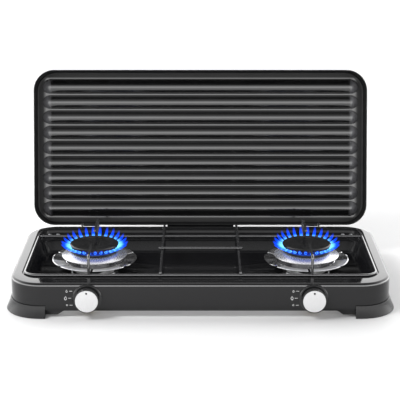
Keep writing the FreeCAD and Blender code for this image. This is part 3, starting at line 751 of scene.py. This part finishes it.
def dish(x):
    """Slotted dish: a turned middle, and petals that stop asin(half width / radius) short of each slot's
    angle, so that their sides run parallel to it. Their outer corners are drawn in."""
    profile = rounded([(18.2, DISH_Z), (DISH_FLAT_R, DISH_Z), (DISH_R, 37.4)], 5.0, 6)
    lap = DISH_SLOT_R + 0.1
    inner = [*profile[profile[:, 0] < DISH_SLOT_R], (lap, DISH_Z + (lap - DISH_FLAT_R) * DISH_SLOPE)]
    r, z = np.array(inner)[:, :1], np.array(inner)[:, 1:]
    a = np.linspace(0, 2 * np.pi, 180, endpoint=False)
    ring = np.stack([r * np.cos(a), r * np.sin(a), z + 0 * a], -1)
    parts = [(ring.reshape(-1, 3), [grid_faces(len(inner), len(a))])]
    r = np.linspace(DISH_SLOT_R, DISH_R, 10)[:, None]
    v = np.linspace(0, 1, 24)[None]
    gap = np.arcsin(SLOT_HALF / r)
    r = r - 1.2 * np.abs(2 * v - 1) ** 12 * ((r - DISH_SLOT_R) / (DISH_R - DISH_SLOT_R)) ** 4
    z = DISH_Z + (r - DISH_FLAT_R) * DISH_SLOPE
    slots = np.radians(SLOT_ANGLES)
    for low, high in zip(slots, [*slots[1:], slots[0] + 2 * np.pi]):
        theta = low + gap + (high - low - 2 * gap) * v
        petal = np.stack([r * np.cos(theta), r * np.sin(theta), z], -1)
        parts.append((petal.reshape(-1, 3), [grid_faces(*theta.shape, wrap_cols=False)]))
    points, faces = joined(parts)
    return points + [x, 0, 0], faces


class STOVE_OT_burners(StovePiece, bpy.types.Operator):
    """Builds both burners' cup, slotted dish, bright skirt and cap"""
    bl_idname = "stove.burners"
    bl_label = "Burners"

    # turned profiles (radius, height), and the rounding of their inner corners
    CUP = ([(30.2, 22.0), (31.0, 22.0), (31.0, 34.0), (18.2, 34.0), (18.2, 33.2), (30.2, 33.2)],
           [0.2, 1.0, 0.2, 0.2])
    SKIRT = ([(15.7, 45.6), (31.2, 45.6), (42.9, 41.6), (43.3, 42.7), (31.6, 46.7), (15.7, 46.7)],
             [1.0, 0.5, 0.5, 1.0])
    CAP = ([(0, 56.0), (25.0, 56.0), (25.0, 53.4), (27.2, 53.4), (27.2, 56.0), (31.3, 56.0), (32.2, 56.5),
            (32.2, 57.3), (30.8, 58.3), (23.4, 59.2), (20.6, 58.3), (0, 58.1)],
           [0.2, 0.2, 0.2, 0.2, 0.3, 0.4, 0.6, 1.6, 1.0, 2.0])

    def build(self, context):
        """Profiles turned about each burner's axis, and the dish."""
        for name, sx in SIDES:
            x = sx * BURNER_X
            for node, part, profile, look, slot, sharp in (
                    ("burner_cup_", "_bowl", self.CUP, "bright", "bright", 40),
                    ("flame_skirt_", "_ring", self.SKIRT, "skirt", "bright", 40),
                    ("burner_cap_", "_disc", self.CAP, "cap_enamel", "enamel", 60)):
                piece(node + name + part, *lathe(rounded(*profile), x), "stove", look, slot, [node + name],
                      sharp=sharp)
            petals = piece("reflector_dish_%s_petals" % name, *dish(x), "stove", "dish", "bright",
                           ["reflector_dish_" + name], outward=False)
            thicken(petals, sizes().sheet, 1.0)


class STOVE_OT_flames(StovePiece, bpy.types.Operator):
    """Lights both burners: a short blue tongue at every port. The burning gas is no part of the stove"""
    bl_idname = "stove.flames"
    bl_label = "Flames"

    FOOT_R, FOOT_Z = 30.8, 53.2         # where a flame leaves its port
    HAZE = np.array([(31.6, 50.2), (33.4, 51.6), (34.6, 53.6), (35.0, 55.6), (35.4, 57.6)])

    def build(self, context):
        """Tongue: its centre line leaves its port straight out and bends up, r = r0 + out sin(t pi/2),
        z = z0 + up t^1.5, and it is as wide as a drop, sqrt(1 - t) (0.55 + 1.1 t - 0.5 t^2). Those at the
        back stand taller and those at the front reach out less. A thin haze hangs at their foot."""
        count = sizes().flame_count
        reach = sizes().flame_length / MM
        t = np.linspace(0.0, 1.0, 12)
        wide = 2.9 * np.sqrt(1 - t) * (0.55 + 1.1 * t - 0.5 * t ** 2)
        wide[-1] = 0.05
        b = np.linspace(0, 2 * np.pi, 10, endpoint=False)
        parts = []
        for k in range(count):
            a = 2 * math.pi * (k + 0.5) / count
            rear = math.sin(a)
            out = reach * (0.80 - 0.48 * max(-rear, 0.0))
            up = reach * (0.32 + 0.68 * max(rear, 0.0) ** 0.9)
            r = self.FOOT_R + out * np.sin(t * np.pi / 2)
            path = np.stack([r * math.cos(a), r * math.sin(a), self.FOOT_Z + up * t ** 1.5], 1)
            side = np.array([-math.sin(a), math.cos(a), 0.0])
            along = np.gradient(path, axis=0)
            along /= np.linalg.norm(along, axis=1, keepdims=True)
            lift = np.cross(along, side)
            around = np.cos(b)[None, :, None] * side + 0.8 * np.sin(b)[None, :, None] * lift[:, None]
            tongue = path[:, None] + wide[:, None, None] * around
            parts.append((tongue.reshape(-1, 3), [grid_faces(len(t), len(b))]))
        points, faces = joined(parts)
        height = np.tile(np.repeat(t, len(b)), count)
        haze, haze_faces = lathe(np.concatenate([self.HAZE, self.HAZE[::-1] - [0.4, 0.0]]), n=112)
        fade = np.linspace(0, 1, len(self.HAZE))
        fade = np.repeat(np.concatenate([fade, fade[::-1]]), 112)
        for name, sx in SIDES:
            burner = [sx * BURNER_X, 0, 0]
            flame_object("flames_" + name, points + burner, faces, height,
                         (0.16, 0.62, 1.0, 1.0), rgba(colours().flame), 2.6, 0.70)
            flame_object("haze_" + name, haze + burner, haze_faces, fade,
                         (0.02, 0.16, 1.0, 1.0), (0.0, 0.01, 0.75, 1.0), 0.9, 0.30)


def flame_object(name, points, faces, height, hot, cool, strength, cover):
    """Burning gas as a glowing, half clear surface; height says how far along its flame each point lies."""
    mesh = mesh_of(name, points, faces)
    mesh.attributes.new("along", "FLOAT", "POINT").data.foreach_set("value", height.astype(np.float32))
    material = bpy.data.materials.new(name + "_gas")
    material.use_nodes = True
    material.node_tree.nodes.clear()
    g = Graph(material.node_tree)
    along = g.attribute("along")
    colour = g.blend(g.smooth(along, 0.04, 0.50), hot, cool)
    glow = g.make("ShaderNodeEmission", {}, {"Color": colour, "Strength": strength})
    clear = g.make("ShaderNodeBsdfTransparent")
    shown = (1.0 - g.smooth(along, 0.25, 1.0)) * cover
    both = g.make("ShaderNodeMixShader", {}, {0: shown, 1: clear, 2: glow})
    g.make("ShaderNodeOutputMaterial", {}, {"Surface": both})
    mesh.materials.append(material)
    obj = placed(name, mesh)
    obj.visible_glossy = name.startswith("haze")


# ---- knobs
def at_depths(*rows):
    """Outlines of (x, z), each set at its own y, as one array of points."""
    return np.concatenate([np.stack([o[:, 0], np.full(len(o), y), o[:, 1]], 1) for o, y in rows])


class STOVE_OT_knobs(StovePiece, bpy.types.Operator):
    """Builds the bezels, knobs, silver faces and the printed marks beside them"""
    bl_idname = "stove.knobs"
    bl_label = "Knobs and marks"

    MARK_R = 27.0                       # marks stand this far from the tap's axis

    def build(self, context):
        """Turned profiles (radius, depth) about each tap's axis, from the wall forwards."""
        wall, front, back = -HALF_D, FACE_LO[1] - MIDDLE_Y, KNOB_HI[1] - MIDDLE_Y
        face_r = (FACE_HI[0] - FACE_LO[0]) / 2
        bezel = rounded([(13.4, wall), (18.6, wall), (18.6, wall - 1.2), (17.4, wall - 2.4), (4.2, wall - 2.4),
                         (4.2, wall - 1.4), (13.4, wall - 1.4)], [0.1, 0.5, 0.5, 0.3, 0.1])
        grip = rounded([(13.2, back), (KNOB_R, back), (KNOB_R, front), (face_r + 0.1, front),
                        (face_r + 0.1, front + 1.0), (5.6, front + 1.2), (5.6, back - 0.4), (3.1, back - 0.4),
                        (3.1, front + 2.4), (13.2, front + 2.4)], [0.3, 0.7, 0.1, 0.1, 0.0, 0.1, 0.1, 0.1])
        face = rounded([(0, front + 1.0), (face_r, front + 1.0), (face_r, front), (0, front)], [0.1, 0.25])
        dot = rounded([(0, front - 0.12), (1.25, front - 0.12), (1.25, front + 0.5), (0, front + 0.5)], 0.06)
        for name, sx in SIDES:
            x = sx * BURNER_X
            turn = "knob_turn_" + name
            for label, profile, z, n, body, look, nodes in (
                    ("knob_bezel_%s_ring", bezel, KNOB_Z, 128, "stove", "knob_black", ["knob_bezel_" + name]),
                    ("knob_%s_grip", grip, KNOB_Z, 128, turn, "knob_black", ["knob_" + name]),
                    ("knob_face_%s_disc", face, KNOB_Z, 128, turn, "knob_silver", ["knob_face_" + name]),
                    ("knob_dot_%s", dot, KNOB_Z + 10.4, 32, turn, "knob_black", [])):
                piece(label % name, *lathe(profile, x, axis="Y", at=z, n=n), body, look, look, nodes)
            self.marks(name, x)

    def marks(self, name, x):
        """Thin raised outlines left of the bezel, each with a dash: a large flame, a small one and a ring.

        A flame is a circle narrowed over its upper half by (1 - sin t)^0.6.
        """
        t = np.linspace(0, 2 * np.pi, 24, endpoint=False)
        ring = np.stack([np.cos(t), np.sin(t)], 1)
        flame = np.stack([0.8 * ring[:, 0] * (1 - np.clip(ring[:, 1], 0, 1)) ** 0.6, 1.25 * ring[:, 1]], 1)
        dash = np.array([(3.2, -0.35), (7.0, -0.35), (7.0, 0.35), (3.2, 0.35)])
        back, ink = -HALF_D + 0.05, -HALF_D - 0.06
        parts = []
        for degrees, shape in ((160, 1.5 * flame), (180, 2.2 * flame), (200, 1.2 * ring)):
            a = math.radians(degrees)
            centre = [x + self.MARK_R * math.cos(a), KNOB_Z + self.MARK_R * math.sin(a)]
            outside, inside, bar = shape + centre, 0.55 * shape + centre, dash + centre
            parts.append((at_depths((outside, back), (outside, ink), (inside, ink), (inside, back)),
                          [grid_faces(4, len(t), wrap_rows=True)]))
            parts.append((at_depths((bar, back), (bar, ink)),
                          [grid_faces(2, 4), np.arange(4)[None, ::-1], np.arange(4, 8)[None]]))
        piece("printed_marks_" + name, *joined(parts), "stove", "print", "knob_silver")


# ---- lid
def open_up(points):
    """Turns points drawn on the shut lid back about the hinge to the open stop."""
    c, s = math.cos(-LID_OPEN), math.sin(-LID_OPEN)
    y, z = points[:, 1] - HINGE_AT[1], points[:, 2] - HINGE_AT[2]
    return np.stack([points[:, 0], HINGE_AT[1] + c * y - s * z, HINGE_AT[2] + s * y + c * z], 1)


class STOVE_OT_lid(StovePiece, bpy.types.Operator):
    """Builds the deep pressed lid with nine round-ended bands"""
    bl_idname = "stove.lid"
    bl_label = "Lid"

    HALF_W = 235.3
    BACK, LENGTH = 119.6, 219.0
    EDGE_Z, DEPTH = 44.6, 35.0
    CORNER, FILLET = 29.0, 2.6
    BAND_HALF = 9.2
    END_X, END_LENGTH = 215.0, 11.0     # where a band's end starts, and how far it runs out
    KNEE = 228.0                        # columns keep their x up to here and follow the outline beyond

    def bands(self, x, y):
        """Depth of the swellings, from the lid's middle: a circle's arc across each band, run out at its ends
        over a half ellipse, and eased into the sheet as (s + sqrt(s^2 + w^2)) / 2."""
        pitch, rise = sizes().band_pitch / MM, sizes().band_rise / MM
        half = self.BAND_HALF
        across = y - np.clip(np.round(y / pitch), -4, 4) * pitch
        past = np.clip(np.abs(x) - self.END_X, 0, None) * half / self.END_LENGTH
        rho = np.sqrt(across ** 2 + past ** 2)
        arc_r = (half ** 2 + rise ** 2) / (2 * rise)
        swell = np.sqrt(np.clip(arc_r ** 2 - rho ** 2, 0, None)) - (arc_r - rise)
        return 0.5 * (swell + np.sqrt(swell ** 2 + 0.45 ** 2)) * (rho < half + 1.2)

    def panel(self, core, r):
        """Grid of x and y over a rounded rectangle; a row ends on the outline, at core + sqrt(r^2 - over^2)."""
        a = np.linspace(0, np.pi / 2, 16)[1:]
        v = np.concatenate([-core[1] - r * np.sin(a[::-1]), np.linspace(-core[1], core[1], 190),
                            core[1] + r * np.sin(a)])
        u = np.concatenate([np.linspace(0, 204, 9), np.linspace(206, self.KNEE, 30),
                            np.linspace(self.KNEE + 1.5, core[0] + r, 4)])
        u = np.concatenate([-u[:0:-1], u])
        over = np.clip(np.abs(v) - core[1], 0, r)
        reach = (core[0] + np.sqrt(np.clip(r ** 2 - over ** 2, 0, None)))[:, None]
        knee = np.minimum(self.KNEE, reach - 3.0)
        au = np.abs(u)[None]
        outer = knee + (reach - knee) * (au - self.KNEE) / (core[0] + r - self.KNEE)
        x = np.where(au <= self.KNEE, au * np.minimum(1.0, knee / self.KNEE), outer) * np.sign(u)
        return x, np.repeat(v[:, None], len(u), 1)

    def build(self, context):
        """A grid over the panel, its outer loop carried on round the edge and down the flange."""
        sheet = sizes().sheet / MM
        core = np.array([self.HALF_W, self.LENGTH / 2]) - self.CORNER
        x, y = self.panel(core, self.CORNER - sheet - self.FILLET)
        top = self.EDGE_Z + self.DEPTH - sheet
        z = top - self.bands(x, y)
        points = [np.stack([x, y, z], -1).reshape(-1, 3)]
        faces = [grid_faces(*x.shape, wrap_cols=False)]
        number = np.arange(x.size).reshape(x.shape)
        last = np.concatenate([number[0, :-1], number[:-1, -1], number[-1, :0:-1], number[:0:-1, 0]])
        edge = points[0][last, :2]
        away = edge - np.clip(edge, -core, core)
        away /= np.linalg.norm(away, axis=1, keepdims=True)
        bend = np.linspace(0, np.pi / 2, 8)[1:]
        steps = [*zip(self.FILLET * np.sin(bend), -self.FILLET * (1 - np.cos(bend))), (self.FILLET, -12.0),
                 (self.FILLET, sheet - self.DEPTH + 0.4), (self.FILLET + 0.2, sheet - self.DEPTH)]
        for k, (out, down) in enumerate(steps):
            points.append(np.column_stack([edge + away * out, np.full(len(edge), top + down)]))
            new = np.arange(len(edge)) + x.size + k * len(edge)
            faces.append(np.stack([last, new, np.roll(new, -1), np.roll(last, -1)], 1))
            last = new
        points = open_up(np.concatenate(points) + [0, self.BACK - self.LENGTH / 2, 0])
        lid = piece("lid_panel_pressing", points, faces, "lid", "lid_enamel", "lid_enamel", ["lid_panel"],
                    outward=False)
        banded = np.clip((226.0 - np.abs(x)) / 5, 0, 1) * np.clip((101.2 - np.abs(y)) / 2, 0, 1)
        # painted highlight: mask over the band ends, where the paint is made lighter
        painted_end_highlight = np.clip((np.abs(x) - 213.0) / 6, 0, 1) * np.clip((top - z) * 2, 0, 1)
        for name, amount in (("banded", banded), ("painted_end_highlight", painted_end_highlight)):
            values = np.zeros(len(points), np.float32)
            values[:x.size] = amount.ravel()
            lid.data.attributes.new(name, "FLOAT", "POINT").data.foreach_set("value", values)
        thicken(lid, sizes().sheet, 1.0)


# ---- carried-over nodes
class STOVE_OT_hardware(StovePiece, bpy.types.Operator):
    """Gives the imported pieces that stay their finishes"""
    bl_idname = "stove.hardware"
    bl_label = "Taps, hinges and screws"

    def build(self, context):
        slots = {s["node"]: s["material_slot"] for s in frame["record"]["subparts"]}
        for name, node in frame["nodes"].items():
            node.data.materials.clear()
            node.data.materials.append(finish(slots[name]))


# ---- stage
class STOVE_OT_stage(StovePiece, bpy.types.Operator):
    """Sets up the pale floor, the soft studio light and the camera"""
    bl_idname = "stove.stage"
    bl_label = "Studio"

    CAMERA_AT = (-0.0006, -1.5095, 0.585)       # from the foot of the front wall's middle
    TILT = 16.0
    LENS = 116.1
    # brightness of the surround against height, up to 1 overhead
    FRONT = [(0.0, 2.5), (0.25, 2.7), (0.38, 1.9), (0.46, 1.2), (0.66, 0.45), (0.83, 0.22), (1.0, 0.06)]
    REAR = [(0.0, 3.2), (0.45, 3.2), (0.80, 1.7), (1.0, 0.4)]

    def build(self, context):
        self.front = (MIDDLE_Y - HALF_D) * MM
        self.floor()
        self.sky(context)
        self.lamps()
        self.camera(context)

    def floor(self):
        """One flat sheet, larger towards the back."""
        mesh = bpy.data.meshes.new("floor")
        mesh.from_pydata([(-6, -4, 0), (6, -4, 0), (6, 9, 0), (-6, 9, 0)], [], [(0, 1, 2, 3)])
        mesh.materials.append(finish("floor_paper"))
        placed("floor", mesh)

    def sky(self, context):
        """Surround: bright behind up to half height, a light band in front at the horizon, dim overhead."""
        world = bpy.data.worlds.new("studio")
        context.scene.world = world
        world.use_nodes = True
        world.node_tree.nodes.clear()
        g = Graph(world.node_tree)
        way = g.make("ShaderNodeTexCoord", out="Generated")
        y = g.make("ShaderNodeSeparateXYZ", {}, {0: way}, out="Y")
        z = g.make("ShaderNodeSeparateXYZ", {}, {0: way}, out="Z")
        behind = g.smooth(y, -0.15, 0.25)
        grey = g.level(z, self.FRONT) * (1.0 - behind) + g.level(z, self.REAR) * behind
        light = g.make("ShaderNodeBackground", {}, {"Color": grey, "Strength": 1.0})
        g.make("ShaderNodeOutputWorld", {}, {"Surface": light})

    def lamps(self):
        """A soft key from the upper left, and a weak lamp that lifts the shadow just behind the front hem.

        The first is turned to the origin and the second faces down. Neither mirrors in the enamel.
        """
        for name, at, size, power in (("key", (-1.3, -0.7, 1.5), (0.7, 0.7), 34.0),
                                      ("under", (0.0, self.front + 0.030, 0.019), (0.36, 0.045), 0.055)):
            data = bpy.data.lights.new(name, "AREA")
            data.shape = "RECTANGLE"
            data.size, data.size_y = size
            data.energy = power
            lamp = placed(name, data)
            lamp.location = at
            if name == "key":
                lamp.rotation_euler = Vector(at).to_track_quat("Z", "Y").to_euler()
            lamp.visible_camera = False
            lamp.visible_glossy = False

    def camera(self, context):
        """Long lens from a little above, square to the front."""
        data = bpy.data.cameras.new("camera")
        data.sensor_width = 36.0
        data.lens = self.LENS
        data.clip_start, data.clip_end = 0.05, 50.0
        camera = placed("camera", data)
        camera.location = Vector(self.CAMERA_AT) + Vector((0, self.front, 0))
        camera.rotation_euler = (math.radians(90 - self.TILT), 0, 0)
        context.scene.camera = camera
        context.scene.view_settings.view_transform = "Standard"


# ---- add-on
class STOVE_PT_panel(bpy.types.Panel):
    """Lists the stove's settings and pieces"""
    bl_idname = "STOVE_PT_panel"
    bl_label = "Camping Stove"
    bl_space_type = "VIEW_3D"
    bl_region_type = "UI"
    bl_category = "Stove"

    def draw(self, context):
        for group in (context.scene.stove_sizes, context.scene.stove_colours):
            column = self.layout.column()
            for key in group.bl_rna.properties.keys():
                if key not in ("rna_type", "name"):
                    column.prop(group, key)
        for operator in OPERATORS:
            self.layout.operator(operator.bl_idname)


OPERATORS = (STOVE_OT_hardware, STOVE_OT_body, STOVE_OT_tray, STOVE_OT_feet, STOVE_OT_grate, STOVE_OT_burners,
             STOVE_OT_knobs, STOVE_OT_lid, STOVE_OT_flames, STOVE_OT_stage)
CLASSES = (StoveSizes, StoveColours, *OPERATORS, STOVE_PT_panel)


def register():
    for cls in CLASSES:
        bpy.utils.register_class(cls)
    bpy.types.Scene.stove_sizes = PointerProperty(type=StoveSizes)
    bpy.types.Scene.stove_colours = PointerProperty(type=StoveColours)


def unregister():
    del bpy.types.Scene.stove_sizes
    del bpy.types.Scene.stove_colours
    for cls in reversed(CLASSES):
        bpy.utils.unregister_class(cls)


def main():
    register()
    for operator in OPERATORS:
        group, name = operator.bl_idname.split(".")
        result = getattr(getattr(bpy.ops, group), name)()
        if result != {"FINISHED"}:
            raise RuntimeError(operator.bl_idname + " did not finish")
    bpy.context.view_layer.update()


if __name__ == "__main__":
    main()
